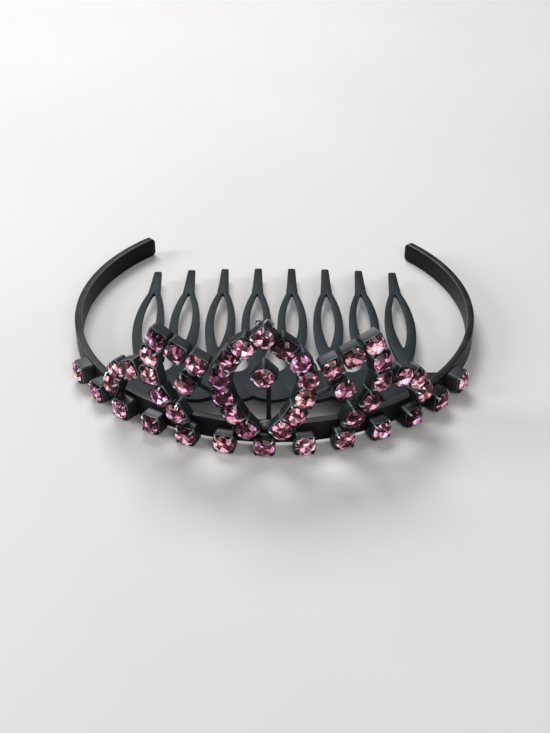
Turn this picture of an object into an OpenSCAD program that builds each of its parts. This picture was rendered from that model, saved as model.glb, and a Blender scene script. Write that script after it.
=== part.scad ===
// Tiara comb: a curved strip with a row of set stones, an openwork crown of
// square settings in front, and a flat stamped comb inside the curve.
// The origin is on the ground under the middle of the whole, front to back.
// The front faces -Y, the comb's teeth point to +Y, and +Z is up.

/* [Band] */
// Outer radius of the strip's curve
band_r = 43; // [36:0.5:55]
// Thickness of the strip
band_t = 1.5; // [1:0.1:2.2]
// Height of the strip
band_h = 4.5; // [3.5:0.1:6]
// How far the strip reaches round from the front to each tip, in degrees
band_reach = 134; // [110:1:145]
// Height of the strip's lower edge above the ground at the front
band_lift = 1; // [0.4:0.1:1.6]
// Radius of the rounded corners at each tip
tip_round = 1.3; // [0.5:0.1:2]

/* [Stones and settings] */
// Diameter of a stone
stone_d = 3.7; // [3:0.1:4.2]
// Metal between a stone and the middle of its setting's side
cup_rim = 0.15; // [0.1:0.05:0.3]
// Depth of a setting, from its back to its rim
cup_d = 2.6; // [2.4:0.1:3.4]
// Width and thickness of a claw
claw_w = 0.6; // [0.4:0.05:0.8]

/* [Base row] */
// Number of stones in the base row, an odd number
row_n = 13; // [9:2:13]
// Distance between neighbouring stones of the row, as a share of the chains' pitch
row_share = 1.76; // [1.7:0.01:1.85]
// How much higher the row's last stones sit than its middle one
row_rise = 0.8; // [0:0.1:1.2]

/* [Crown] */
// Space between neighbouring settings of a chain
cup_gap = 0.1; // [0.05:0.05:0.3]
// Backward lean of the crown, in degrees
crown_lean = 2.5; // [0:0.5:4]
// Height of the single middle stone over the row, as a share of the chains' pitch
middle_share = 3.76; // [3.7:0.01:3.9]
// Diameter of the stem and the struts
wire_d = 0.9; // [0.7:0.1:1.2]
// Sideways offset of the stem from the middle stone
stem_offset = 0.8; // [-1:0.1:1]

/* [Comb] */
// Number of teeth
tooth_n = 8; // [6:1:8]
// Distance between neighbouring teeth
tooth_pitch = 7.7; // [7.2:0.1:8]
// Distance from the strip's inside to the comb's front edge
comb_in = 8.6; // [6:0.1:10]
// Length of the comb from its front edge to the middle teeth's tips
comb_l = 51.5; // [46:0.5:56]
// Depth of the bar that the teeth stand on
bar_d = 9.5; // [8:0.5:11]
// Thickness of the comb's plate
comb_t = 0.9; // [0.7:0.1:1.2]
// How much shorter the outer teeth are than the middle ones
tooth_bow = 1.7; // [0:0.1:3]
// Turn of the comb inside the strip, in degrees
comb_turn = 2; // [-3:0.5:3]

/* [Hidden] */
$fn = 48;
gap = 0.1;                     // clearance between separate pieces
crown_off = 0.25;              // clearance between the strip and the crown
past = 1;                      // how far a cut runs on past the solid
cup_w = stone_d + 2 * cup_rim; // side of a square setting
chain_pitch = cup_w + cup_gap; // distance between neighbouring stones of a chain
row_pitch = chain_pitch * row_share;
row_step = row_pitch / band_r * 180 / PI;  // the same in degrees round the strip
face_r = band_r + cup_d + crown_off;  // radius of the crown's face
row_mid = (row_n - 1) / 2;
row_up = cup_w / 2;            // height of the row's middle stone
middle_up = row_up + chain_pitch * middle_share;
tip_back = -cos(band_reach);   // the tips' distance behind the centre, as a share of the radius
band_tilt = atan(band_lift / (band_r * (1 + tip_back)));

// Heights over a setting's rim and widths of a stone, as shares of its diameter
stone_r = stone_d / 2;
girdle_low_share = 0.045;
girdle_high_share = 0.075;
table_high_share = 0.23;
table_wide_share = 0.56;
culet_share = 0.4;             // depth of its point below the rim
seat_w = 0.08;                 // how far a stone overlaps the rim that it sits on
culet_room = 0.2;              // clearance behind its point
bore_r = stone_r - seat_w;
bore_d = stone_d * culet_share + culet_room;
back_t = cup_d - bore_d;       // metal behind a stone
hook_low = stone_d * 0.168;    // underside and top of a claw's hook over the rim
hook_high = hook_low + claw_w * 0.55;
centre_back = (face_r + hook_high - band_r * tip_back) / 2;  // from the origin to the curve's centre
link_w = cup_w * 0.45;         // width of the bridge between two settings

// The chains of settings on the right side, each row one step to the next setting:
// heading of the step in degrees, its length as a share of the pitch, turn of the setting
RING = [
    [50, 1.24, 49], [53, 0.98, 58], [62, 0.98, 72],
    [82, 0.98, 97], [112, 0.98, 122], [132, 1.02, 142],
];
RING_TOP = [152, 1.08, 45];
LOBE = [
    [70, 1.25, 57], [41, 1.04, 50], [60, 1.10, 75], [92, 1.05, 100],
    [112, 1.03, 202], [201, 1.07, 202], [202, 1.09, 202], [296, 1.30, 298],
];
END = [[65, 1.32, 24], [116, 1.02, 131], [152, 1.03, 152]];
LOBE_FOOT = 2;  // the base stone that the lobe stands on, counted from the middle
END_FOOT = 4;
STRUT_RING = 3; // the lobe's strut ends between this setting of the ring and the one below

SIDES = ["left", "right"];
function stone_names(chain, rows) =
    [for (side = SIDES, i = [1:len(rows)]) str(chain, "_stone_", side, "_", i)];

// Where things are on the crown's curve: [distance along the curve, height]
function row_angle(i) = (i - row_mid) * row_step;
function row_lift(a) = row_up + row_rise * (1 - cos(a)) / (1 - cos(row_mid * row_step));
function on_row(k) = [face_r * k * row_step * PI / 180, row_lift(k * row_step)];
function step_of(row) = chain_pitch * row[1] * [cos(row[0]), sin(row[0])];
function walk(start, rows, i = 0) = i == len(rows) ? [] :
    let (at = start + step_of(rows[i])) concat([at], walk(at, rows, i + 1));
function turns(rows) = [for (row = rows) row[2]];

ring_at = walk(on_row(0), RING);
top_at = [0, (ring_at[len(RING) - 1] + step_of(RING_TOP))[1]];
lobe_at = walk(on_row(LOBE_FOOT), LOBE);
end_at = walk(on_row(END_FOOT), END);
middle_at = [0, middle_up];

// Places children on the crown's leaning curve, turned in its face
module on_crown(at, turn = 0) {
    rotate([0, 0, at[0] / face_r * 180 / PI])
        translate([0, -band_r - crown_off, row_up])
            rotate([-crown_lean, 0, 0])
                translate([0, 0, at[1] - row_up])
                    rotate([0, -turn, 0]) children();
}

// Places children on the base row
module on_base(i) {
    rotate([0, 0, row_angle(i)])
        translate([0, -band_r, row_lift(row_angle(i))]) children();
}

// Lets the strip and the comb down at the back, until the tips reach the ground
module settled() {
    translate([0, -band_r, band_lift])
        rotate([-band_tilt, 0, 0])
            translate([0, band_r, 0]) children();
}

// A setting's parts have their back in the XZ plane and open towards -Y
module cup_block(sink = 0) {
    translate([-cup_w / 2, -cup_d, -cup_w / 2]) cube([cup_w, cup_d + sink, cup_w]);
}

module cup_bore() {
    rotate([90, 0, 0]) translate([0, 0, cup_d - bore_d]) cylinder(r = bore_r, h = bore_d + past);
}

// Four corner claws that rise beside the girdle and bend in over the stone
module cup_claws() {
    inner_r = stone_r + gap;
    outer_r = cup_w / sqrt(2) - claw_w / 2;
    hook_r = table_wide_share * stone_r + claw_w * 0.85;
    for (k = [0:3])
        rotate([0, 45 + 90 * k, 0]) translate([0, -cup_d, 0])
            linear_extrude(height = claw_w, center = true)
                polygon([
                    [inner_r, claw_w * 0.7], [outer_r, claw_w * 0.7], [outer_r, -claw_w * 0.8],
                    [inner_r + claw_w / 4, -hook_high], [hook_r, -hook_high],
                    [hook_r, -hook_low], [inner_r, -stone_d * 0.115],
                ]);
}

module chain_cups(at, turn) {
    difference() {
        union() {
            for (i = [0:len(at) - 1]) on_crown(at[i], turn[i]) cup_block();
            for (i = [1:len(at) - 1]) solder_link(at[i - 1], at[i]);
            children();
        }
        for (i = [0:len(at) - 1]) on_crown(at[i], turn[i]) cup_bore();
    }
    for (i = [0:len(at) - 1]) on_crown(at[i], turn[i]) cup_claws();
}

// Joins two neighbouring settings behind their stones
module solder_link(a, b) {
    span = b - a;
    on_crown(a, atan2(span[1], span[0]))
        translate([0, -back_t, -link_w / 2]) cube([norm(span), back_t, link_w]);
}

// A round stone: eight-sided table, crown facets, girdle and pointed back
function ring_of(r, h, n) = [for (k = [0:n - 1]) [r * cos(360 * k / n), r * sin(360 * k / n), h]];

module stone() {
    n = 8;
    m = 2 * n;
    points = concat(
        ring_of(stone_r * table_wide_share, stone_d * table_high_share, n),
        ring_of(stone_r, stone_d * girdle_high_share, m),
        ring_of(stone_r, stone_d * girdle_low_share, m),
        [[0, 0, -stone_d * culet_share]]);
    function t(k) = k % n;
    function hi(k) = n + (k + m) % m;
    function lo(k) = n + m + (k + m) % m;
    culet = n + 2 * m;
    faces = concat(
        [[for (k = [n - 1:-1:0]) k]],
        [for (k = [0:n - 1]) [t(k), hi(2 * k), hi(2 * k - 1)]],
        [for (k = [0:n - 1]) [t(k), hi(2 * k + 1), hi(2 * k)]],
        [for (k = [0:n - 1]) [t(k), t(k + 1), hi(2 * k + 1)]],
        [for (k = [0:m - 1]) [hi(k), hi(k + 1), lo(k + 1), lo(k)]],
        [for (k = [0:m - 1]) [lo(k), lo(k + 1), culet]]);
    color([0.85, 0.58, 0.75])
        translate([0, -cup_d, 0]) rotate([90, 0, 0]) polyhedron(points, faces);
}

module strip() {
    difference() {
        rotate([0, 0, -90 - band_reach]) rotate_extrude(angle = 2 * band_reach, $fn = 180)
            translate([band_r - band_t, 0]) square([band_t, band_h]);
        for (side = [-1, 1]) {
            tip_corner(side);
            translate([0, 0, band_h]) mirror([0, 0, 1]) tip_corner(side);
        }
    }
}

// What is cut away to round the lower corner at a tip; the upper one is its mirror image
module tip_corner(side) {
    inset = tip_round * 0.96;  // the rounding meets both faces at a slight angle
    rotate([0, 0, side * band_reach]) mirror([side > 0 ? 0 : 1, 0, 0])
        translate([-inset, -band_r - past, 0]) difference() {
            translate([0, 0, -past]) cube([inset + past, band_t + 2 * past, inset + past]);
            translate([0, -past, inset]) rotate([-90, 0, 0])
                cylinder(r = tip_round, h = band_t + 4 * past);
        }
}

module band() {
    color([0.33, 0.36, 0.34]) {
        difference() {
            union() {
                settled() strip();
                for (i = [0:row_n - 1]) on_base(i) cup_block(band_t / 2);
            }
            for (i = [0:row_n - 1]) on_base(i) cup_bore();
        }
        for (i = [0:row_n - 1]) on_base(i) cup_claws();
    }
}

// The comb's plan: the teeth point to +Y and the bar's front edge is at y = 0
root_w = tooth_pitch * 0.36;   // a tooth where it leaves the bar
loop_w = tooth_pitch * 0.84;   // and at its widest
neck_w = tooth_pitch * 0.32;   // above the hole
tip_w = tooth_pitch * 0.22;    // at its end
hole_w = tooth_pitch * 0.38;
hole_l = comb_l * 0.42;
root_y = bar_d + (tooth_pitch - root_w) / 2;
neck_y = comb_l * 0.81;
hole_y = comb_l * 0.57;        // the hole's middle
scallop = bar_d * 0.15;

// A pointed oval between two arcs, long along Y
module oval(w, l) {
    r = (l * l + w * w) / (4 * w);
    intersection_for (side = [-1, 1]) translate([side * (r - w / 2), 0]) circle(r, $fn = 120);
}

module tooth_plan(l) {
    loop_l = (neck_y - root_y) * 1.16;
    loop_mid = (neck_y + root_y) / 2;
    difference() {
        union() {
            translate([0, loop_mid]) oval(loop_w, loop_l);
            translate([-root_w / 2, bar_d - 1]) square([root_w, loop_mid - bar_d]);
            polygon([
                [-neck_w * 0.55, neck_y - neck_w * 0.7], [neck_w * 0.55, neck_y - neck_w * 0.7],
                [neck_w * 0.45, neck_y + neck_w], [tip_w / 2, l - tip_w / 6], [tip_w / 3, l],
                [-tip_w / 3, l], [-tip_w / 2, l - tip_w / 6], [-neck_w * 0.45, neck_y + neck_w],
            ]);
        }
        translate([0, hole_y]) intersection() {
            oval(hole_w, hole_l * 1.06);
            circle(hole_l / 2);
        }
    }
}

module comb_plan() {
    half_n = (tooth_n - 1) / 2;
    bar_w = 2 * band_r;
    for (i = [-half_n:half_n])
        translate([i * tooth_pitch, 0]) tooth_plan(comb_l - tooth_bow * pow(i / half_n, 2));
    difference() {
        translate([-bar_w / 2, scallop]) square([bar_w, root_y - scallop]);
        for (i = [-half_n - 0.5:half_n + 0.5])
            translate([i * tooth_pitch, root_y]) circle((tooth_pitch - root_w) / 2);
        for (side = [-1, 1])
            translate([side * (bar_w + tooth_n * tooth_pitch) / 2, root_y])
                square([bar_w, 2 * (root_y - bar_d)], center = true);
    }
    scallop_r = (tooth_pitch * tooth_pitch / 4 + scallop * scallop) / (2 * scallop);
    for (i = [-half_n - 0.5:half_n + 0.5])
        intersection() {
            translate([i * tooth_pitch, scallop_r]) circle(scallop_r);
            translate([i * tooth_pitch - tooth_pitch / 2, 0]) square([tooth_pitch, bar_d / 2]);
        }
}

module comb() {
    comb_up = (band_h - comb_t) / 2;
    front_y = band_t + comb_in - band_r;
    color([0.22, 0.26, 0.27])
        settled() translate([0, 0, comb_up])
            linear_extrude(height = comb_t) intersection() {
                rotate([0, 0, comb_turn]) translate([0, front_y]) comb_plan();
                circle(band_r - band_t - gap, $fn = 180);
            }
}

module ring() {
    color([0.24, 0.25, 0.26]) {
        left = [for (i = [len(RING) - 1:-1:0]) [-ring_at[i][0], ring_at[i][1]]];
        left_turn = [for (i = [len(RING) - 1:-1:0]) -RING[i][2]];
        chain_cups(concat(ring_at, [top_at], left), concat(turns(RING), [RING_TOP[2]], left_turn));
    }
}

// The single middle setting on its stem, which stands on the strip
module middle_setting() {
    foot_up = band_lift + band_h + gap + wire_d * sin(crown_lean);
    stem_back = wire_d / 2 + gap;
    color([0.24, 0.25, 0.26]) {
        difference() {
            on_crown(middle_at, 45) cup_block(stem_back);
            on_crown(middle_at, 45) cup_bore();
        }
        on_crown(middle_at, 45) cup_claws();
        on_crown([stem_offset, foot_up]) translate([0, stem_back, 0])
            cylinder(d = wire_d, h = middle_up - foot_up);
    }
}

module lobe() {
    color([0.24, 0.25, 0.26])
        chain_cups(lobe_at, turns(LOBE)) strut();
}

// The diagonal wire from the lobe's inner setting towards the ring
module strut() {
    from = lobe_at[len(LOBE) - 1];
    span = (ring_at[STRUT_RING - 2] + ring_at[STRUT_RING - 1]) / 2 - from;
    on_crown(from, atan2(span[1], span[0])) translate([0, -back_t / 2, 0])
        rotate([0, 90, 0]) cylinder(d = wire_d, h = norm(span) - cup_w);
}

// The end lobe, with a short foot down to the base row
module end_lobe() {
    foot = on_row(END_FOOT) + [cup_w * 0.3, cup_w / 2 + gap];
    color([0.24, 0.25, 0.26])
        chain_cups(end_at, turns(END))
            on_crown(foot) translate([0, -wire_d, 0])
                cylinder(d = wire_d, h = end_at[0][1] - foot[1]);
}

module base_stones() {
    for (i = [0:row_n - 1]) on_base(i) stone();
}

module chain_stone(side, at, turn) {
    mirror([side == "left" ? 1 : 0, 0, 0]) on_crown(at, turn) stone();
}

module placed() {
    translate([0, centre_back, 0]) children();
}

placed() band();
placed() comb();
placed() ring();
placed() middle_setting();
placed() mirror([1, 0, 0]) lobe();  // lobe_left
placed() lobe();  // lobe_right
placed() mirror([1, 0, 0]) end_lobe();  // end_left
placed() end_lobe();  // end_right
placed() base_stones();
placed() on_crown(middle_at, 45) stone();  // middle_stone
placed() on_crown(top_at, RING_TOP[2]) stone();  // top_stone
for (side = SIDES, i = [1:len(RING)])
    placed() chain_stone(side, ring_at[i - 1], RING[i - 1][2]);
for (side = SIDES, i = [1:len(LOBE)])
    placed() chain_stone(side, lobe_at[i - 1], LOBE[i - 1][2]);
for (side = SIDES, i = [1:len(END)])
    placed() chain_stone(side, end_at[i - 1], END[i - 1][2]);
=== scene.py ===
# %% [markdown]
# A tiara comb is a small crown that a flat hair comb holds in place. An open
# band carries a row of square claw settings. In front of it stands an openwork
# crown of the same settings, soldered edge to edge, and inside it lies the comb.
# The exact solids come first, as a frame that every piece here is fitted to.

# %% Load the frame
import math
import random

import bmesh
import bpy
from mathutils import Matrix, Vector


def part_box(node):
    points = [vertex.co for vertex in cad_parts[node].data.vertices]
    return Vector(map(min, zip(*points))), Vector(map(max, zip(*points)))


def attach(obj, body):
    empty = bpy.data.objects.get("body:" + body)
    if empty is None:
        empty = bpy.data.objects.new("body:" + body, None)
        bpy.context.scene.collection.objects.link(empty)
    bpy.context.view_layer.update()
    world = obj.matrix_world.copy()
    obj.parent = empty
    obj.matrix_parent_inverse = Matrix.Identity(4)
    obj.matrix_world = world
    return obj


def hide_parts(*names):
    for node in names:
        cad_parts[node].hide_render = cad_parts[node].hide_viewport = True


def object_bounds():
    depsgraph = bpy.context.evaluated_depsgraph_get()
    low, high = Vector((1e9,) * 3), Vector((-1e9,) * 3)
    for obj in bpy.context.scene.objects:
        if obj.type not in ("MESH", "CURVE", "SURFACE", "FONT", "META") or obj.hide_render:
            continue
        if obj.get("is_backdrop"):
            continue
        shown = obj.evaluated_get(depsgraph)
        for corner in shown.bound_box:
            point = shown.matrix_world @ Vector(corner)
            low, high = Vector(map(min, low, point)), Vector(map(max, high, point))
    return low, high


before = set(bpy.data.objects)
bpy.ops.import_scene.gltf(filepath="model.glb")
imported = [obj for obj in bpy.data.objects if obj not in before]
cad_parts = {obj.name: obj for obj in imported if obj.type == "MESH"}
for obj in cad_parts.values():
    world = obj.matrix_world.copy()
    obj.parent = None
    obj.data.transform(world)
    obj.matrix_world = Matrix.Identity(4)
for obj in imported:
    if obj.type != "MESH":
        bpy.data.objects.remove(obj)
cad_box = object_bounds()
MM = 0.001
print("solids in the frame:", len(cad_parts))

# %% [markdown]
# The camera stands where the photograph was taken from: in front, a little to
# the right, looking down at about 35 degrees. It is made first, so that each
# piece can be looked at from there as it is added.

# %% Place the camera
CENTRE_BACK = 8.466   # from the origin back to the centre of the band's curve, mm
CAMERA_AT = (8.78, CENTRE_BACK - 207.4, 134.98)
CAMERA_DOWN = 35.27   # degrees below the horizon
CAMERA_TURN = 2.39    # degrees, seen from above
LENS = 55.24

lens_data = bpy.data.cameras.new("camera")
lens_data.lens = LENS
lens_data.sensor_width = 36
lens_data.clip_start = 0.01
camera = bpy.data.objects.new("camera", lens_data)
camera.location = [v * MM for v in CAMERA_AT]
camera.rotation_euler = (math.radians(90 - CAMERA_DOWN), 0, math.radians(CAMERA_TURN))
bpy.context.scene.collection.objects.link(camera)
bpy.context.scene.camera = camera
print("camera", round(math.dist(CAMERA_AT, (0, 0, 0))), "mm from the origin")

# %% [markdown]
# The settings follow simple rules. The row is spaced evenly round the band, and
# each chain of the crown walks from one setting to the next by a heading and a
# length. Walking the same steps as the solids do gives each setting a matrix of
# its own: its back lies in the local XZ plane and it opens towards local -Y.

# %% Walk the chains of settings
# lengths in mm and angles in degrees, the same as in the solids
BAND_R = 43.0
CUP_W, CUP_D = 4.0, 2.6
ROW_N, ROW_RISE = 13, 0.8
PITCH, CROWN_LEAN, CROWN_OFF = 4.1, 2.5, 0.25
ROW_SHARE, MIDDLE_SHARE = 1.76, 3.76    # of the pitch
ROW_STEP = math.degrees(PITCH * ROW_SHARE / BAND_R)
FACE_R = BAND_R + CUP_D + CROWN_OFF
ROW_UP = CUP_W / 2
MIDDLE_UP = ROW_UP + PITCH * MIDDLE_SHARE
ROW_MID = (ROW_N - 1) / 2

# heading in degrees, length as a share of the pitch, turn of the setting
RING = [(50, 1.24, 49), (53, 0.98, 58), (62, 0.98, 72),
        (82, 0.98, 97), (112, 0.98, 122), (132, 1.02, 142)]
RING_TOP = (152, 1.08, 45)
LOBE = [(70, 1.25, 57), (41, 1.04, 50), (60, 1.10, 75), (92, 1.05, 100),
        (112, 1.03, 202), (201, 1.07, 202), (202, 1.09, 202), (296, 1.30, 298)]
END = [(65, 1.32, 24), (116, 1.02, 131), (152, 1.03, 152)]
LOBE_FOOT, END_FOOT = 2, 4


def row_lift(angle):
    """Height of a stone of the row, which rises towards its ends."""
    rise = (1 - math.cos(math.radians(angle))) / (1 - math.cos(math.radians(ROW_MID * ROW_STEP)))
    return ROW_UP + ROW_RISE * rise


def on_row(k):
    return (FACE_R * math.radians(k * ROW_STEP), row_lift(k * ROW_STEP))


def step(at, row):
    heading = math.radians(row[0])
    return (at[0] + PITCH * row[1] * math.cos(heading), at[1] + PITCH * row[1] * math.sin(heading))


def walk(start, rows):
    places = []
    for row in rows:
        start = step(start, row)
        places.append(start)
    return places


def spin(degrees, axis):
    return Matrix.Rotation(math.radians(degrees), 4, axis)


def shift(x, y, z):
    return Matrix.Translation((x, y, z))


def crown_place(at, turn=0.0):
    """The matrix, in mm, of a place on the crown's leaning curve."""
    return (shift(0, CENTRE_BACK, 0) @ spin(math.degrees(at[0] / FACE_R), "Z")
            @ shift(0, -BAND_R - CROWN_OFF, ROW_UP) @ spin(-CROWN_LEAN, "X")
            @ shift(0, 0, at[1] - ROW_UP) @ spin(-turn, "Y"))


def mirrored(at):
    return (-at[0], at[1])


ring_at = walk(on_row(0), RING)
lobe_at = walk(on_row(LOBE_FOOT), LOBE)
end_at = walk(on_row(END_FOOT), END)
top_at = (0.0, step(ring_at[-1], RING_TOP)[1])
middle_at = (0.0, MIDDLE_UP)

# each group of settings: [(place, turn of the setting)], and the nodes it stands for
GROUPS = {
    "ring": [(a, r[2]) for a, r in zip(ring_at, RING)] + [(top_at, RING_TOP[2])]
            + [(mirrored(a), -r[2]) for a, r in zip(reversed(ring_at), reversed(RING))],
    "middle": [(middle_at, 45)],
}
for side, flip in (("left", -1), ("right", 1)):
    for chain, places, rows in (("lobe", lobe_at, LOBE), ("end", end_at, END)):
        GROUPS[f"{chain}_{side}"] = [((flip * a[0], a[1]), flip * r[2])
                                     for a, r in zip(places, rows)]
print({name: len(group) for name, group in GROUPS.items()})

# %% [markdown]
# The places are worked out twice, here and in the solids, so they are compared
# once: five stones' middles, each against the middle of its own node.

# %% Compare the places with the solids
def node_middle(node):
    low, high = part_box(node)
    return (low + high) / 2 / MM


worst = 0.0
for node, at in [("middle_stone", middle_at), ("top_stone", top_at),
                 ("ring_stone_right_3", ring_at[2]), ("lobe_stone_right_5", lobe_at[4]),
                 ("end_stone_left_2", mirrored(end_at[1]))]:
    axis_point = crown_place(at)
    across = axis_point.inverted() @ node_middle(node)
    worst = max(worst, abs(across.x), abs(across.z))
print("stones lie within", round(worst, 2), "mm of the worked-out axes")

# %% [markdown]
# A finish is a tree of nodes. Here a small class wraps a socket, so that a sum
# written in Python adds the Math nodes, and one method adds every other node.
# The same class serves the trees that make shapes.

# %% Trees written as sums
class Value:
    """What flows out of a node. Sums on it add Math nodes to its tree."""

    def __init__(self, owner, socket):
        self.owner, self.socket = owner, socket

    def _sum(self, operation, *terms):
        return self.owner.node("ShaderNodeMath", {"operation": operation}, dict(enumerate(terms)))

    def __add__(self, other):
        return self._sum("ADD", self, other)

    def __sub__(self, other):
        return self._sum("SUBTRACT", self, other)

    def __rsub__(self, other):
        return self._sum("SUBTRACT", other, self)

    def __mul__(self, other):
        return self._sum("MULTIPLY", self, other)

    __radd__ = __add__
    __rmul__ = __mul__

    def between(self, low, high):
        """0 below low, 1 above high, smooth between them."""
        return self.owner.node("ShaderNodeMapRange", {"interpolation_type": "SMOOTHSTEP"},
                               {"Value": self, "From Min": low, "From Max": high})


class Tree:
    """A node tree and the one method that adds its nodes."""

    def node(self, kind, settings=None, inputs=None, output=0):
        made = self.tree.nodes.new(kind)
        for key, value in (settings or {}).items():
            if key == "stops":
                self._set_stops(made.color_ramp, value)
            else:
                setattr(made, key, value)
        for key, value in (inputs or {}).items():
            if isinstance(value, Value):
                self.tree.links.new(value.socket, made.inputs[key])
            else:
                made.inputs[key].default_value = value
        return Value(self, made.outputs[output])

    def _set_stops(self, ramp, stops):
        while len(ramp.elements) < len(stops):
            ramp.elements.new(1.0)
        for element, (place, colour) in zip(ramp.elements, stops):
            element.position = place
            element.color = (*colour, 1)


class Finish(Tree):
    """A material, with what is the same all over set on the shader's own sockets."""

    def __init__(self, name, **fixed):
        self.material = bpy.data.materials.new(name)
        self.material.use_nodes = True
        self.tree = self.material.node_tree
        self.shader = self.tree.nodes["Principled BSDF"]
        for socket, value in fixed.items():
            self.shader.inputs[socket.replace("_", " ")].default_value = value

    def mixed(self, share, first, second, blend="MIX"):
        first, second = [v if isinstance(v, Value) else (*v, 1) for v in (first, second)]
        return self.node("ShaderNodeMix", {"data_type": "RGBA", "blend_type": blend},
                         {0: share, 6: first, 7: second}, 2)

    def noise(self, scale, detail=2.0, stretch=(1, 1, 1)):
        place = self.node("ShaderNodeTexCoord", output="Object")
        place = self.node("ShaderNodeMapping", None, {"Vector": place, "Scale": stretch})
        return self.node("ShaderNodeTexNoise", None,
                         {"Vector": place, "Scale": scale, "Detail": detail}, "Fac")

    def attribute(self, name):
        return self.node("ShaderNodeAttribute", {"attribute_name": name}, None, "Fac")

    def paint(self, socket, value):
        self.tree.links.new(value.socket, self.shader.inputs[socket])

    def bump(self, height, strength, distance):
        relief = {"Height": height, "Strength": strength, "Distance": distance}
        self.paint("Normal", self.node("ShaderNodeBump", None, relief, "Normal"))


class Recipe(Tree):
    """A Geometry Nodes tree with named inputs, and the piece that it makes."""

    def __init__(self, name, inputs):
        self.tree = bpy.data.node_groups.new(name, "GeometryNodeTree")
        self.tree.interface.new_socket("Shape", in_out="OUTPUT", socket_type="NodeSocketGeometry")
        for key, kind in {"Start": "Geometry", **inputs}.items():
            self.tree.interface.new_socket(key, in_out="INPUT", socket_type="NodeSocket" + kind)
        self.entry = self.tree.nodes.new("NodeGroupInput")
        self.exit = self.tree.nodes.new("NodeGroupOutput")

    def given(self, name):
        return Value(self, self.entry.outputs[name])

    def named(self, name, kind="FLOAT_VECTOR"):
        return self.node("GeometryNodeInputNamedAttribute", {"data_type": kind}, {"Name": name})

    def store(self, shape, name, domain, value):
        return self.node("GeometryNodeStoreNamedAttribute", {"domain": domain},
                         {"Geometry": shape, "Name": name, "Value": value})

    def ends_with(self, shape):
        """Real mesh with its material, which is what an export keeps."""
        shape = self.node("GeometryNodeRealizeInstances", None, {"Geometry": shape})
        shape = self.node("GeometryNodeSetMaterial", None,
                          {"Geometry": shape, "Material": self.given("Material")})
        self.tree.links.new(shape.socket, self.exit.inputs[0])

    def make(self, name, start, **values):
        """Runs the tree on an object and keeps the result as a plain mesh."""
        modifier = start.modifiers.new("recipe", "NODES")
        modifier.node_group = self.tree
        for item in self.tree.interface.items_tree:
            if item.in_out == "INPUT" and item.name in values:
                modifier[item.identifier] = values[item.name]
        bpy.context.view_layer.update()
        evaluated = start.evaluated_get(bpy.context.evaluated_depsgraph_get())
        mesh = bpy.data.meshes.new_from_object(evaluated)
        mesh.name = name
        start.modifiers.remove(modifier)
        bpy.data.objects.remove(start)
        return show(name, mesh)


def show(name, mesh):
    piece = bpy.data.objects.new(name, mesh)
    bpy.context.scene.collection.objects.link(piece)
    return piece


def settle(piece, nodes):
    """The piece moves with the only body and stands for its solids, which are hidden."""
    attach(piece, "root")
    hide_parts(*nodes)
    piece.data.calc_loop_triangles()
    print(piece.name, "has", len(piece.data.loop_triangles), "triangles")


print("ready to write trees")

# %% [markdown]
# A setting is a square box of dark metal with a round seat bored into it. It is
# lofted from closed rings with the same number of points: the back, the sides,
# a small bevel at the rim, then down into the seat. The bevels carry a number
# called wear, so that the finish can brighten them.

# %% Loft a setting's box
STONE_R = 1.85
CORNER_POINTS = 10
BACK_INSET, BACK_RUN = 0.25, 0.24     # bevel at the back: inwards, and along the side
RIM_INSET, RIM_RUN = 0.07, 0.1        # the same at the rim
SEAT_PLAY = 0.02                      # between a stone and the edge of its seat
SEAT_LEDGE, SEAT_RUN = 0.12, 0.2      # the slope that the stone sits on
SEAT_END = -1.0                       # where the seat stops, in y


def square_ring(half, corner, y):
    """A square with rounded corners."""
    points = []
    for quarter in range(4):
        for k in range(CORNER_POINTS):
            angle = math.radians(90 * quarter + 90 * k / (CORNER_POINTS - 1))
            middle = half - corner
            sign_x = 1 if quarter in (0, 3) else -1
            sign_z = 1 if quarter in (0, 1) else -1
            points.append(Vector((sign_x * middle + corner * math.cos(angle), y,
                                  sign_z * middle + corner * math.sin(angle))))
    return points


def round_ring(radius, y):
    """A circle whose points stand opposite those of a square ring."""
    turns = [math.radians(90 * quarter + 90 * (k + 0.5) / CORNER_POINTS)
             for quarter in range(4) for k in range(CORNER_POINTS)]
    return [Vector((radius * math.cos(t), y, radius * math.sin(t))) for t in turns]


def loft(bm, rings, wear, worn=()):
    """Joins closed rings and caps both ends. Bands listed in worn get a wear of their own."""
    made = [[bm.verts.new(p) for p in ring] for ring in rings]
    n = len(rings[0])
    for j, (low, high) in enumerate(zip(made, made[1:])):
        for k in range(n):
            face = bm.faces.new((low[k], low[(k + 1) % n], high[(k + 1) % n], high[k]))
            face[wear] = dict(worn).get(j, 0.0)
    for ring in (made[0], made[-1]):
        bm.faces.new(ring)
    return made


def crisp_mesh(bm, name, sharp=35):
    """A smooth mesh whose corners stay crisp above an angle."""
    mesh = bpy.data.meshes.new(name)
    bm.to_mesh(mesh)
    bm.free()
    mesh.shade_smooth()
    mesh.set_sharp_from_angle(angle=math.radians(sharp))
    return mesh


def finish_mesh(bm, name, sharp=35):
    """Merges doubles and turns the faces outward first."""
    bmesh.ops.remove_doubles(bm, verts=bm.verts, dist=1e-5)
    bmesh.ops.recalc_face_normals(bm, faces=bm.faces)
    return crisp_mesh(bm, name, sharp)


def box_rings(back):
    """From the back to the seat. The squares take a half width, a corner radius and a y."""
    half, seat = CUP_W / 2, STONE_R + SEAT_PLAY
    return [square_ring(half - BACK_INSET, 0.4, back),
            square_ring(half, 0.55, back - BACK_RUN),
            square_ring(half, 0.55, -CUP_D + RIM_RUN),
            square_ring(half - RIM_INSET, 0.5, -CUP_D),
            round_ring(seat, -CUP_D),
            round_ring(seat - SEAT_LEDGE, -CUP_D + SEAT_RUN),
            round_ring(seat - SEAT_LEDGE, SEAT_END)]


print("a setting's rings:", len(box_rings(0.0)))

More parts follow.
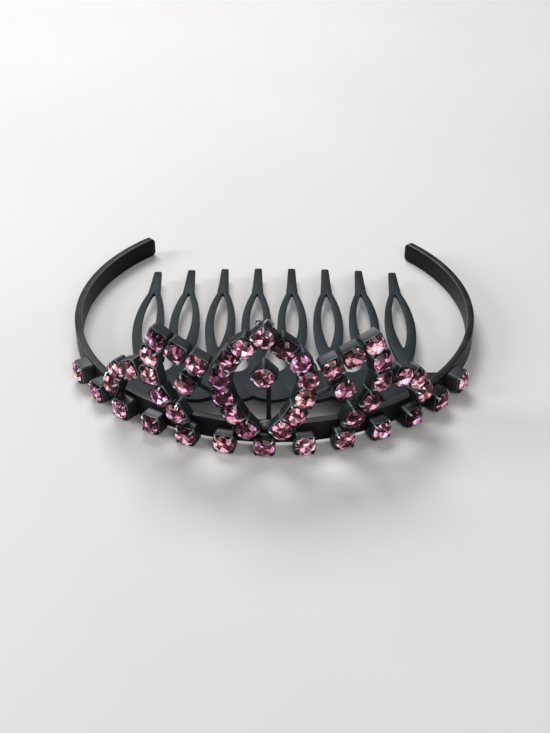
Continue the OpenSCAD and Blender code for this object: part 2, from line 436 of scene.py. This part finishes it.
# %% [markdown]
# The claws are wire pins. Each rises from a corner of the box and is pressed
# down over the stone. One path, from the corner inwards, is swept with a round
# section that grows thinner towards its end, and turned to the four corners.

# %% Sweep the claws and close the setting
# distance from the stone's middle, height over the rim, and radius, in mm
CLAW_PATH = [(2.16, -1.0, 0.16), (2.24, -0.3, 0.20), (2.23, 0.12, 0.22), (2.14, 0.36, 0.22),
             (1.98, 0.52, 0.20), (1.80, 0.60, 0.17), (1.66, 0.62, 0.13), (1.59, 0.60, 0.06)]
CLAW_SIDES = 8
CLAW_WEAR_AND_HIGHLIGHT = [0.3, 0.4, 1.0, 0.8]    # wear of each claw; the upper ones are set highest, partly as painted highlight


def section(at, along, side, radius):
    """A circle round a path's point, across the way it runs."""
    over = along.cross(side).normalized()
    return [at + radius * (math.cos(a) * side + math.sin(a) * over)
            for a in (2 * math.pi * k / CLAW_SIDES for k in range(CLAW_SIDES))]


def sweep(bm, path, wear, worn, side):
    """Lofts a round pin along [(point, radius)] that stays in one plane."""
    rings = []
    for i, (at, radius) in enumerate(path):
        along = (path[min(i + 1, len(path) - 1)][0] - path[max(i - 1, 0)][0]).normalized()
        rings.append(section(at, along, side, radius))
    loft(bm, rings, wear, [(j, worn) for j in range(len(rings))])


def make_setting(name, back=0.0):
    bm = bmesh.new()
    wear = bm.faces.layers.float.new("wear")
    loft(bm, box_rings(back), wear, [(0, 0.2), (2, 0.6), (3, 0.15)])
    for k in range(4):
        turn = spin(45 + 90 * k, "Y")
        pin = [(turn @ Vector((out, -CUP_D - up, 0)), radius) for out, up, radius in CLAW_PATH]
        sweep(bm, pin, wear, CLAW_WEAR_AND_HIGHLIGHT[k], turn @ Vector((0, 0, 1)))
    return show(name, finish_mesh(bm, name))


setting = make_setting("setting_shape")
print("one setting has", len(setting.data.polygons), "faces")

# %% [markdown]
# A cut stone shows a patchwork of bright and dark pieces, because its facets
# mirror each other. Glass with a real path for light is slow and dull at this
# size, so each piece is a flat facet of its own, its light painted into its
# colour, with a thin seam of painted shade round it.
# The table is split into uneven pieces, and two sloping facets lead from each of
# its eight sides to the girdle.

# %% Cut one stone
SHOWN_R = STONE_R + 0.13                    # the girdle hides the rim that it sits on
TABLE = 0.60                                # width of the table, as a share of the whole
TABLE_UP, GIRDLE_UP = 0.23, 0.075           # heights over the rim, as shares of the width
GIRDLE_LOW, POINT_DEEP = 0.045, 0.38
SEAM, WIDEST_SEAM = 0.045, 0.3              # border of painted shade, in mm, and as a share of a facet
TABLE_CUTS = [0, 2, 3, 5, 7]                # corners of the table that a cut runs to


def facet_point(share, eighths, height):
    angle = math.radians(45 * eighths + 22.5)
    return Vector((SHOWN_R * share * math.cos(angle), -CUP_D - 2 * STONE_R * height,
                   SHOWN_R * share * math.sin(angle)))


def add_facet(bm, points, seam, low):
    """One facet, drawn in from its outline, with a border in the same plane that the finish
    darkens as painted shade.
    """
    middle = sum(points, Vector()) / len(points)
    around = list(zip(points, points[1:] + points[:1]))
    width = min((middle - a - (middle - a).project(b - a)).length for a, b in around)
    share = min(WIDEST_SEAM, SEAM / width)
    outline = [bm.verts.new(p) for p in points]
    inside = [bm.verts.new(p.lerp(middle, share)) for p in points]
    faces = [bm.faces.new(inside)]
    n = len(points)
    for k in range(n):
        after = (k + 1) % n
        faces.append(bm.faces.new((outline[k], outline[after], inside[after], inside[k])))
    for face in faces:
        face[seam] = 0.0 if face is faces[0] else 1.0
        # how low the facet sits, from 0 at the top to 1 at the bottom: the finish paints lower
        # facets brighter, as painted light
        face[low] = 0.5 - 0.5 * middle.z / SHOWN_R


def make_stone(name):
    bm = bmesh.new()
    seam, low = bm.faces.layers.float.new("seam"), bm.faces.layers.float.new("low")
    heart = facet_point(0.16, 1.3, TABLE_UP)    # off the middle, where the cuts meet
    for start, end in zip(TABLE_CUTS, TABLE_CUTS[1:] + [TABLE_CUTS[0] + 8]):
        corners = [facet_point(TABLE, k, TABLE_UP) for k in range(start, end + 1)]
        add_facet(bm, [heart] + corners, seam, low)
    for k in range(8):
        upper, under = facet_point(TABLE, k, TABLE_UP), facet_point(1, k + 0.5, GIRDLE_UP)
        add_facet(bm, [upper, facet_point(1, k, GIRDLE_UP), under], seam, low)
        add_facet(bm, [upper, under, facet_point(1, k + 1, GIRDLE_UP),
                       facet_point(TABLE, k + 1, TABLE_UP)], seam, low)
        for a, b in ((k, k + 0.5), (k + 0.5, k + 1)):
            high = [bm.verts.new(facet_point(1, e, GIRDLE_UP)) for e in (a, b)]
            deep = [bm.verts.new(facet_point(1, e, GIRDLE_LOW)) for e in (b, a)]
            bm.faces.new(high + deep)[seam] = 1.0
            tip = [bm.verts.new(facet_point(1, e, GIRDLE_LOW)) for e in (a, b)]
            bm.faces.new(tip + [bm.verts.new(facet_point(0, 0, -POINT_DEEP))])[seam] = 1.0
    return show(name, finish_mesh(bm, name, sharp=1))


stone = make_stone("stone_shape")
print("one stone has", len(stone.data.polygons), "faces")

# %% [markdown]
# Geometry Nodes put a copy of the setting on each place of a chain, and a stone
# in it. A mesh of bare points carries the places, and an attribute called turn
# carries each copy's angles. A seeded roll and nod are added to them, because a
# hand sets the real ones: the boxes barely differ, while the round stones lie at
# any turn. Each copy gets a random tone, and each face a random number that the
# stones' finish paints as the glint of that facet.

# %% Write the tree that fills a chain
chain_tree = Recipe("Copies on a chain", {"Copy": "Object", "Size": "Float", "Seed": "Int",
                                          "Material": "Material"})
copied = chain_tree.node("GeometryNodeObjectInfo", None, {"Object": chain_tree.given("Copy")},
                         "Geometry")
turned = chain_tree.node("FunctionNodeEulerToRotation", None, {"Euler": chain_tree.named("turn")})
copies = chain_tree.node("GeometryNodeInstanceOnPoints", None,
                         {"Points": chain_tree.given("Start"), "Instance": copied,
                          "Rotation": turned, "Scale": chain_tree.given("Size")})


def random_number(tree, seed):
    return tree.node("FunctionNodeRandomValue", {"data_type": "FLOAT"},
                     {2: 0.0, 3: 1.0, "Seed": seed}, 1)


copies = chain_tree.store(copies, "tone", "INSTANCE",
                          random_number(chain_tree, chain_tree.given("Seed")))
loose = chain_tree.node("GeometryNodeRealizeInstances", None, {"Geometry": copies})
# a random number for each face, which the stones' finish paints as a glint: painted light
chain_tree.ends_with(chain_tree.store(loose, "spark", "FACE",
                                      random_number(chain_tree, chain_tree.given("Seed") + 1)))


def fill(name, places, copy, material, roll, nod, seed):
    """Runs the tree on matrices in mm. Roll and nod are the widest angles, in degrees."""
    rng = random.Random(seed)
    points = bpy.data.meshes.new(name)
    points.from_pydata([tuple(m.translation * MM) for m in places], [], [])
    turn = points.attributes.new("turn", "FLOAT_VECTOR", "POINT")
    for value, matrix in zip(turn.data, places):
        own = spin(rng.uniform(-roll, roll), "Y") @ spin(rng.uniform(-nod, nod), "X")
        value.vector = (matrix @ own).to_euler()
    return chain_tree.make(name, show(name + "_points", points), Copy=copy, Size=MM, Seed=seed,
                           Material=material)


print("the chain tree has", len(chain_tree.tree.nodes), "nodes")

# %% [markdown]
# The settings are steel with a dark plating that has worn off the claws and the
# rims. Worn places are brighter and smoother, and on the upper claws that
# brightness is partly painted highlight. Here and there, laid by noise, the
# plating has duller blue-grey patches. Each setting has its own tone.

# %% Mix the finish of the settings
plating = Finish("dark_plated_settings", Metallic=0.9, Coat_Weight=0.1, Coat_Roughness=0.25)
wear = plating.attribute("wear")
grime = plating.noise(900, 4)
patch = plating.noise(160, 2)
# bare metal where worn; on the upper claws this brightness is partly painted highlight
bare = (wear * (0.1 + grime * 0.7 + patch * 0.8)).between(0.35, 0.95)
worn = patch.between(0.35, 0.7) * 0.5 + plating.attribute("tone") * 0.5
plate = plating.mixed(worn, (0.009, 0.011, 0.012), (0.052, 0.058, 0.060))
# patches laid by noise, where the plating is a duller blue-grey
dull = (plating.noise(260, 3) * 0.7 + grime * 0.3).between(0.52, 0.66)
plate = plating.mixed(dull * 0.6, plate, (0.072, 0.080, 0.106))
plating.paint("Base Color", plating.mixed(bare, plate, (0.62, 0.63, 0.65)))
plating.paint("Roughness", 0.46 - bare * 0.22 + dull * 0.16 + grime * 0.10)
plating.bump(grime, 0.12, 0.0002)
print("settings finish:", len(plating.tree.nodes), "nodes")

# %% [markdown]
# The stones are pale violet-pink glass with a mirrored back, and their light is
# painted into their colour. Each facet gets a painted brightness of its own, for
# the light it throws back, and the lower ones are painted a little brighter.
# Through each facet one sees shards of the mirrored ones behind it, so random
# cells of painted reflection are laid across the facets. A ramp turns one number,
# the painted light, into the run of colours, and the seams pull it down as
# painted shade. The same colour glows a little as emission. Some stones lean to
# violet and others to rose brown.

# %% Mix the finish of the stones, with their light painted in
gem = Finish("pale_violet_glass", Roughness=0.14, Specular_IOR_Level=0.12, Coat_Weight=0.16,
             Coat_Roughness=0.03, Emission_Strength=0.30)
spark, seam, low, tone = [gem.attribute(n) for n in ("spark", "seam", "low", "tone")]
where = gem.node("ShaderNodeTexCoord", output="Object")
# random cells of painted reflection, for the mirrored facets seen through each facet
painted_reflection = gem.node("ShaderNodeTexVoronoi", None, {"Vector": where, "Scale": 950}, "Color")
painted_reflection = gem.node("ShaderNodeSeparateColor", None, {"Color": painted_reflection}, "Red")
# painted light: a glint for each facet, painted reflections in cells, lower facets a little
# brighter, and each stone's random tone
light = low.between(0.30, 0.70) * 0.14 + spark * 0.62 + painted_reflection * 0.50 + tone * 0.22 - 0.325
light = light + (gem.noise(1100, 2) - 0.5) * 0.22
# the seams darken the painted light, as painted shade; a noise lets some of them fade
light = light * (1 - seam * gem.noise(700, 1).between(0.38, 0.56) * 0.8)
colour = gem.node("ShaderNodeValToRGB", {"stops": [
    (0.0, (0.004, 0.0005, 0.001)), (0.12, (0.016, 0.002, 0.005)), (0.26, (0.050, 0.011, 0.019)),
    (0.40, (0.110, 0.038, 0.056)), (0.49, (0.23, 0.090, 0.135)), (0.57, (0.48, 0.21, 0.32)),
    (0.70, (0.88, 0.50, 0.71)), (0.82, (1.0, 0.76, 0.93)), (0.94, (1.0, 0.96, 1.0))]},
                  {"Fac": light})
tint = gem.mixed(gem.noise(150, 1).between(0.35, 0.65), (1.0, 0.82, 1.0), (1.0, 0.87, 0.72))
colour = gem.mixed(1.0, colour, tint, "MULTIPLY")
gem.paint("Base Color", colour)
# the same colour glows as emission, as painted light
gem.paint("Emission Color", colour)
print("stone finish:", len(gem.tree.nodes), "nodes")

# %% [markdown]
# Now each chain gets its settings and its stones. The exact solids that they
# stand for are hidden, and stay for collision.

# %% Fill the crown's chains
STONE_NODES = {"middle": ["middle_stone"]}
STONE_NODES["ring"] = ["top_stone"] + [f"ring_stone_{side}_{i}" for side in ("left", "right")
                                       for i in range(1, len(RING) + 1)]
for side in ("left", "right"):
    for chain, rows in (("lobe", LOBE), ("end", END)):
        STONE_NODES[f"{chain}_{side}"] = [f"{chain}_stone_{side}_{i}"
                                          for i in range(1, len(rows) + 1)]
SETTING_NODES = {name: "middle_setting" if name == "middle" else name for name in GROUPS}

WIRE_D, CLEARANCE = 0.9, 0.1
middle_back = WIRE_D / 2 + CLEARANCE    # the middle setting reaches back to its stem
ANY_TURN = 22.5     # to each side, which is as far as eight equal sides can differ
deep_setting = make_setting("deep_setting_shape", middle_back)
for seed, (name, group) in enumerate(GROUPS.items()):
    shape = deep_setting if name == "middle" else setting
    boxes = fill(name + "_settings", [crown_place(at, turn) for at, turn in group], shape,
                 plating.material, roll=0.8, nod=0.4, seed=seed)
    settle(boxes, [SETTING_NODES[name]])
    gems = fill(name + "_gems", [crown_place(at) for at, turn in group], stone,
                gem.material, roll=ANY_TURN, nod=3.0, seed=seed + 30)
    settle(gems, STONE_NODES[name])

# %% [markdown]
# The thirteen settings of the base row are soldered on the strip itself. Their
# backs are flat and the strip is round, so each one runs a little way into it.
# The same tree places them, from matrices that follow the strip.

# %% Fill the row on the strip
ROW_SINK = 0.4      # how far the settings run back into the strip, mm


def row_place(i):
    angle = (i - ROW_MID) * ROW_STEP
    return shift(0, CENTRE_BACK, 0) @ spin(angle, "Z") @ shift(0, -BAND_R, row_lift(angle))


row_setting = make_setting("row_setting_shape", ROW_SINK)
row_places = [row_place(i) for i in range(ROW_N)]
row_boxes = fill("row_settings", row_places, row_setting, plating.material,
                 roll=0.4, nod=0.2, seed=40)
settle(row_boxes, ["band"])
row_gems = fill("row_gems", row_places, stone, gem.material, roll=ANY_TURN, nod=4.0, seed=41)
settle(row_gems, ["base_stones"])
for shape in (setting, deep_setting, row_setting, stone):
    bpy.data.objects.remove(shape)

# %% [markdown]
# The strip is one flat band bent round, with corners that were filed a little
# round. Its section is swept along the curve, and near each tip the upper and
# lower edges close in on quarter circles. The strip leans back until its tips
# rest on the ground, so the whole sweep is turned by that small angle.

# %% Sweep the strip
BAND_T, BAND_H = 1.5, 4.5
BAND_REACH, BAND_LIFT, TIP_ROUND = 134.0, 1.0, 1.3
tip_back = -math.cos(math.radians(BAND_REACH))
BAND_TILT = math.degrees(math.atan(BAND_LIFT / (BAND_R * (1 + tip_back))))
SETTLED = (shift(0, CENTRE_BACK, 0) @ shift(0, -BAND_R, BAND_LIFT) @ spin(-BAND_TILT, "X")
           @ shift(0, BAND_R, 0))
FILED = 0.14                    # radius of the filed corners
TIP_INSET = TIP_ROUND * 0.96
AROUND = 12                     # points round a section, and so faces as well
FLATS, INSIDE = (2, 5, 8, 11), 5    # the faces between filed corners, and the inner one


def strip_section(angle, filed, shrink):
    """Twelve points round the strip, three to a corner."""
    turn = spin(angle, "Z")
    inner, outer = BAND_R - BAND_T + shrink, BAND_R - shrink
    bottom, top = filed + shrink, BAND_H - filed - shrink
    points = []
    for r, z, quarter in ((outer - FILED, top - FILED, 0), (inner + FILED, top - FILED, 1),
                          (inner + FILED, bottom + FILED, 2), (outer - FILED, bottom + FILED, 3)):
        for k in range(3):
            a = math.radians(90 * quarter + 45 * k)
            points.append(turn @ Vector((0, -r - FILED * math.cos(a), z + FILED * math.sin(a))))
    return points


def tip_filed(distance):
    """How much is filed off above and below, at a distance from the tip."""
    if distance >= TIP_INSET:
        return 0.0
    return TIP_ROUND - math.sqrt(TIP_ROUND ** 2 - (TIP_INSET - distance) ** 2)


def tip_shrunk(distance):
    """How much smaller all round a section is, which rounds the tip's own edge."""
    if distance < 1e-6:
        return 0.10
    return 0.03 if distance < 0.1 else 0.0


near_tip = [0.0, 0.06, 0.12, 0.3, 0.5, 0.75, 1.0, TIP_INSET]
reach = math.radians(BAND_REACH) * BAND_R
along_half = [reach - d for d in near_tip] + [math.radians(a) * BAND_R for a in range(131, 0, -2)]
stations = [-s for s in along_half] + [0.0] + along_half[::-1]
bm = bmesh.new()
wear_layer = bm.faces.layers.float.new("wear")
# marks the inner face, which the finish darkens as painted shade
inner_shade_layer = bm.faces.layers.float.new("inside")
along_layer = bm.verts.layers.float.new("along")
rings = [strip_section(math.degrees(s / BAND_R), tip_filed(reach - abs(s)),
                       tip_shrunk(reach - abs(s))) for s in stations]
for ring, s in zip(loft(bm, rings, wear_layer), stations):
    for vert in ring:
        vert[along_layer] = s
bm.faces.ensure_lookup_table()
for j in range(len(rings) - 1):
    at_tip = reach - abs(stations[j]) < 0.1 and reach - abs(stations[j + 1]) < 0.13
    for k in range(AROUND):
        face = bm.faces[j * AROUND + k]
        face[wear_layer] = 1.0 if at_tip or k not in FLATS else 0.0
        face[inner_shade_layer] = 1.0 if k == INSIDE else 0.0
bm.transform(Matrix.Scale(MM, 4) @ SETTLED)
strip = show("strip", finish_mesh(bm, "strip"))
print("the strip is", round(2 * reach), "mm long")

# %% [markdown]
# The strip's plating is dark grey and satin, rubbed lengthwise, so its noise is
# drawn out along the strip. The filed corners are rubbed lighter, and the inside
# face is painted nearly black, as painted shade.

# %% Mix the strip's finish
strip_metal = Finish("brushed_strip", Metallic=0.85, Specular_IOR_Level=0.3)
place = strip_metal.node("ShaderNodeTexCoord", output="Object")
high = strip_metal.node("ShaderNodeSeparateXYZ", None, {"Vector": place}, "Z")
along = strip_metal.attribute("along")
grain_place = strip_metal.node("ShaderNodeCombineXYZ", None, {"X": along * 0.22, "Y": high * 5200})
grain = strip_metal.node("ShaderNodeTexNoise", None, {"Vector": grain_place, "Scale": 1.0,
                                                      "Detail": 4.0}, "Fac")
cloud = strip_metal.noise(110, 3)
base = strip_metal.mixed(cloud.between(0.3, 0.75), (0.009, 0.0095, 0.009), (0.020, 0.021, 0.019))
base = strip_metal.mixed(grain.between(0.5, 0.75) * 0.6, base, (0.038, 0.039, 0.036))
# painted shade: the inner face is darkened to nearly black
base = strip_metal.mixed(strip_metal.attribute("inside") * 0.75, base, (0.004, 0.004, 0.0045))
edge = (strip_metal.attribute("wear") * (0.2 + grain * 0.6 + cloud * 0.7)).between(0.45, 1.1)
strip_metal.paint("Base Color", strip_metal.mixed(edge, base, (0.085, 0.085, 0.08)))
strip_metal.paint("Roughness", 0.50 - edge * 0.08 + (grain - 0.5) * 0.25)
strip_metal.bump(grain, 0.18, 0.0001)
strip.data.materials.append(strip_metal.material)
settle(strip, ["band"])

# %% [markdown]
# The comb was stamped from one sheet, so the exact solid already has its shape.
# What the solid lacks is the soft edge that stamping and polishing leave. A copy
# of its mesh is merged, flat parts are dissolved into single faces, and its sharp
# edges get a narrow bevel that carries the wear.

# %% Soften the comb's edges
bm = bmesh.new()
bm.from_mesh(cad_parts["comb"].data)
bmesh.ops.remove_doubles(bm, verts=bm.verts, dist=2e-6)
bmesh.ops.dissolve_limit(bm, angle_limit=math.radians(0.6), verts=bm.verts, edges=bm.edges)
wear_layer = bm.faces.layers.float.new("wear")


def is_stamped(edge):
    """Whether a sharp edge lies between the plate's upper or lower face and its outline."""
    if not edge.is_manifold or edge.calc_face_angle() <= math.radians(40):
        return False
    lying = [abs(face.normal.z) for face in edge.link_faces]
    return min(lying) < 0.5 < max(lying)


sharp = [edge for edge in bm.edges if is_stamped(edge)]
bevelled = bmesh.ops.bevel(bm, geom=sharp, offset=0.13 * MM, segments=2, profile=0.5,
                           affect="EDGES", clamp_overlap=True)
for face in bevelled["faces"]:
    face[wear_layer] = 1.0
bmesh.ops.triangulate(bm, faces=[f for f in bm.faces if len(f.verts) > 4])
comb = show("stamped_comb", crisp_mesh(bm, "stamped_comb"))
print("edges softened:", len(sharp))

# %% [markdown]
# The comb is as dark as the strip, with a cast of green-blue, and so matte that
# it hardly looks like metal. Wear has left faint streaks along the teeth, so one
# noise is drawn out that way, and the soft edges are rubbed a little lighter.

# %% Mix the comb's finish
comb_metal = Finish("matte_comb", Metallic=0.3, Specular_IOR_Level=0.17)
fine, broad = comb_metal.noise(1500, 3), comb_metal.noise(90, 2)
rubbed = comb_metal.noise(420, 3, (1, 0.12, 1))
base = comb_metal.mixed(broad.between(0.3, 0.7), (0.003, 0.008, 0.010), (0.007, 0.014, 0.016))
base = comb_metal.mixed(rubbed.between(0.55, 0.8) * 0.5, base, (0.016, 0.024, 0.027))
edge = (comb_metal.attribute("wear") * (0.5 + rubbed)).between(0.5, 1.1)
comb_metal.paint("Base Color", comb_metal.mixed(edge, base, (0.075, 0.09, 0.09)))
comb_metal.paint("Roughness", 0.56 - edge * 0.2 + (fine - 0.5) * 0.2)
comb_metal.bump(fine, 0.15, 0.0001)
comb.data.materials.append(comb_metal.material)
settle(comb, ["comb"])

# %% [markdown]
# Wires hold what the chains don't reach: the stem of the middle stone, a strut in
# each lobe, and a short foot under each end. A second tree turns a path of bare
# points into a round wire. Its thickness is an attribute, so that a wire can
# swell where solder runs up it.

# %% Write the tree that draws wire
wire_tree = Recipe("Round wire", {"Sides": "Int", "Wear": "Float", "Material": "Material"})
curve = wire_tree.node("GeometryNodeMeshToCurve", None, {"Mesh": wire_tree.given("Start")})
profile = wire_tree.node("GeometryNodeCurvePrimitiveCircle", None,
                         {"Resolution": wire_tree.given("Sides"), "Radius": 1.0})
tube = wire_tree.node("GeometryNodeCurveToMesh", None,
                      {"Curve": curve, "Profile Curve": profile, "Fill Caps": True,
                       "Scale": wire_tree.named("thick", "FLOAT")})
wire_tree.ends_with(wire_tree.store(tube, "wear", "FACE", wire_tree.given("Wear")))


def draw_wires(name, paths, worn=0.0, sides=14):
    """Each path is [(point in mm, radius in mm)]."""
    points = [p for path in paths for p, r in path]
    edges, first = [], 0
    for path in paths:
        edges += [(first + k, first + k + 1) for k in range(len(path) - 1)]
        first += len(path)
    mesh = bpy.data.meshes.new(name)
    mesh.from_pydata([tuple(p * MM) for p in points], edges, [])
    thick = mesh.attributes.new("thick", "FLOAT", "POINT")
    thick.data.foreach_set("value", [r * MM for path in paths for p, r in path])
    return wire_tree.make(name, show(name + "_path", mesh), Sides=sides, Wear=worn,
                          Material=plating.material)


def soldered(matrix, start, end, radius, swell, steps=12):
    """A straight wire along local X. It swells over the fifth of its length at each end."""
    path = []
    for k in range(steps + 1):
        t = k / steps
        near_start, near_end = max(0, 1 - t * 5) ** 2, max(0, 1 - (1 - t) * 5) ** 2
        grow = 1 + (swell[0] - 1) * near_start + (swell[1] - 1) * near_end
        path.append((matrix @ Vector((start + (end - start) * t, 0, 0)), radius * grow))
    return path


print("the wire tree has", len(wire_tree.tree.nodes), "nodes")

# %% [markdown]
# The stem stands behind the row and runs up to the back of the middle setting.
# Each strut leads from the last setting of a lobe towards the ring, and each foot
# from the row up to the first setting of an end. All are a little thinner than
# the exact wires, apart from their ends, which are swollen with solder.

# %% Draw the stem, the struts and the feet
STEM_OFFSET = 0.8   # to the right of the middle
KEPT_IN = 0.02      # how far the wires stand back from the exact ones
WIRE_R = WIRE_D / 2 - KEPT_IN
foot_up = BAND_LIFT + BAND_H
stem_place = crown_place((STEM_OFFSET, foot_up)) @ shift(0, middle_back, 0) @ spin(-90, "Y")
stem_end = MIDDLE_UP - foot_up - 1.0
stem = draw_wires("stem", [soldered(stem_place, KEPT_IN, stem_end, WIRE_R, (1.5, 1.2))])
settle(stem, ["middle_setting"])

strut_from = Vector(lobe_at[-1])
strut_span = (Vector(ring_at[1]) + Vector(ring_at[2])) / 2 - strut_from
strut_turn = math.degrees(math.atan2(strut_span.y, strut_span.x))
FOOT_ASIDE = 0.3    # of a setting's width
foot_at = Vector(on_row(END_FOOT)) + Vector((CUP_W * FOOT_ASIDE, CUP_W / 2))
BORE = 1.68         # depth of the exact settings' bore
CUP_BACK = CUP_D - BORE
for side, flip in (("left", -1), ("right", 1)):
    strut_place = (crown_place((flip * strut_from.x, strut_from.y), flip * strut_turn)
                   @ shift(0, -CUP_BACK / 2, 0) @ spin(0 if flip > 0 else 180, "Z"))
    strut = draw_wires(f"lobe_{side}_strut", [soldered(
        strut_place, 1.8, strut_span.length - CUP_W + CLEARANCE, WIRE_R, (1.0, 1.3))])
    settle(strut, [f"lobe_{side}"])
    foot_place = (crown_place((flip * foot_at.x, foot_at.y)) @ shift(0, -WIRE_D, 0)
                  @ spin(-90, "Y"))
    foot = draw_wires(f"end_{side}_foot", [soldered(
        foot_place, KEPT_IN, end_at[0][1] - foot_at.y, WIRE_R, (1.4, 1.2), 8)])
    settle(foot, [f"end_{side}"])

# %% [markdown]
# Behind the top setting two spare claws were never pressed down. They curl up
# from its back as short worn wires, so their paths are drawn point by point.

# %% Curl the spare claws
# in mm, from the middle of the top setting's back
CURLS = [[(-0.9, -0.7, 1.6), (-1.35, -0.55, 1.75), (-1.6, -0.4, 2.1), (-1.4, -0.3, 2.4),
          (-0.9, -0.3, 2.4), (-0.4, -0.5, 2.2)],
         [(0.1, -1.7, 2.25), (0.2, -1.0, 2.5), (0.5, -0.4, 2.55), (1.1, -0.25, 2.35),
          (1.6, -0.4, 1.8), (1.5, -0.7, 1.3)]]
top_place = crown_place(top_at)
curls = draw_wires("spare_claws", [
    [(top_place @ Vector(p), 0.15 + 0.13 * math.sin(math.pi * (k + 0.5) / len(curl)))
     for k, p in enumerate(curl)] for curl in CURLS], worn=0.65, sides=10)
settle(curls, ["ring"])

# %% [markdown]
# Solder joins neighbouring settings, and shows between their sides and a little
# past their backs. It is a dull grey lump: a ball that is flattened and dented by
# a few seeded waves, and copied to each joint.

# %% Melt the solder
solder = Finish("rough_solder", Metallic=0.5)
lumps = solder.noise(1100, 4)
solder.paint("Base Color", solder.mixed(lumps.between(0.35, 0.7), (0.035, 0.037, 0.039),
                                        (0.17, 0.168, 0.17)))
solder.paint("Roughness", 0.78 - lumps * 0.2)
solder.bump(lumps, 0.3, 0.0001)


def make_lump(name, size, seed):
    bm = bmesh.new()
    bmesh.ops.create_icosphere(bm, subdivisions=3, radius=1)
    rng = random.Random(seed)
    waves = [(Vector([rng.uniform(-3, 3) for _ in range(3)]), rng.uniform(0, 6)) for _ in range(6)]
    for vert in bm.verts:
        dent = sum(math.sin(w.dot(vert.co) + phase) for w, phase in waves) / len(waves)
        vert.co = Vector(a * b for a, b in zip(vert.co * (1 + 0.22 * dent), size))
    return show(name, finish_mesh(bm, name, 60))


JOINT_DEEP = 1.0             # from the settings' backs to a lump's middle, mm


def joint_place(a, b):
    """Midway between two places of the crown, with local X along the line between them."""
    span = Vector(b) - Vector(a)
    return (crown_place((Vector(a) + Vector(b)) / 2, math.degrees(math.atan2(span.y, span.x)))
            @ shift(0, -JOINT_DEEP, 0))


lump = make_lump("lump_shape", (0.85, 1.1, 1.35), 3)
for seed, (name, group) in enumerate(GROUPS.items()):
    if name == "middle":
        continue
    places = [at for at, turn in group]
    joints = [joint_place(a, b) for a, b in zip(places, places[1:])]
    if name.startswith("lobe"):
        flip = -1 if name.endswith("left") else 1
        joints.append(joint_place((flip * on_row(LOBE_FOOT)[0], on_row(LOBE_FOOT)[1]), places[0]))
    settle(fill(name + "_solder", joints, lump, solder.material, roll=12, nod=6, seed=60 + seed),
           [SETTING_NODES[name]])
bpy.data.objects.remove(lump)

foot_lump = make_lump("foot_lump_shape", (0.95, 0.6, 0.62), 8)
foot_joints = [crown_place((STEM_OFFSET + x, foot_up + z)) @ shift(0, -y, 0)
               for x, y, z in ((-0.9, 0.7, 0.6), (0.1, 0.45, 0.75), (-0.45, 1.3, 0.45))]
settle(fill("stem_solder", foot_joints, foot_lump, solder.material, roll=5, nod=3, seed=80),
       ["middle_setting"])
bpy.data.objects.remove(foot_lump)

# %% [markdown]
# The floor is plain and pale. The light is soft and comes from above and behind,
# as in the photograph, with a weaker fill from the front. A metal shows what it
# mirrors, so the sky is pale too and the lamps are wide.

# %% Lay the floor and light it
paper = Finish("pale_floor", Roughness=0.85)
fibre = paper.noise(14, 3)
paper.paint("Base Color", paper.mixed(fibre, (0.53, 0.52, 0.505), (0.59, 0.58, 0.565)))
bm = bmesh.new()
bmesh.ops.create_grid(bm, x_segments=1, y_segments=1, size=1.5)
mesh = bpy.data.meshes.new("floor")
bm.to_mesh(mesh)
bm.free()
floor = show("floor", mesh)
floor.location.z = -0.02 * MM    # just under the part, so that they don't share a face
floor.data.materials.append(paper.material)
floor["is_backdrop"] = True

CROWN_MIDDLE = Vector((0, 0, 12)) * MM


def softbox(name, at, watts, width, height):
    """A wide lamp, placed in mm, that looks at the crown."""
    data = bpy.data.lights.new(name, "AREA")
    data.shape, data.size, data.size_y, data.energy = "RECTANGLE", width * MM, height * MM, watts
    lamp = bpy.data.objects.new(name, data)
    lamp.location = Vector(at) * MM
    lamp.rotation_euler = (CROWN_MIDDLE - lamp.location).to_track_quat("-Z", "Y").to_euler()
    bpy.context.scene.collection.objects.link(lamp)


softbox("window", (-120, 330, 420), 2.7, 300, 220)
softbox("fill", (160, -420, 330), 1.2, 300, 220)
softbox("side", (-420, -60, 200), 1.3, 160, 200)
world = bpy.data.worlds.new("pale_sky")
world.use_nodes = True
sky = world.node_tree.nodes["Background"].inputs
sky["Color"].default_value = (0.80, 0.84, 0.90, 1)
sky["Strength"].default_value = 0.36
bpy.context.scene.world = world
bpy.context.scene.view_settings.view_transform = "Standard"

# %% [markdown]
# The dressed part should stay the size of the exact solids, so both boxes are
# printed for comparison.

# %% Compare the sizes and finish
dressed_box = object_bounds()
for name, corners in (("solids", cad_box), ("dressed", dressed_box)):
    print(name, [[round(float(v) / MM, 2) for v in corner] for corner in corners])
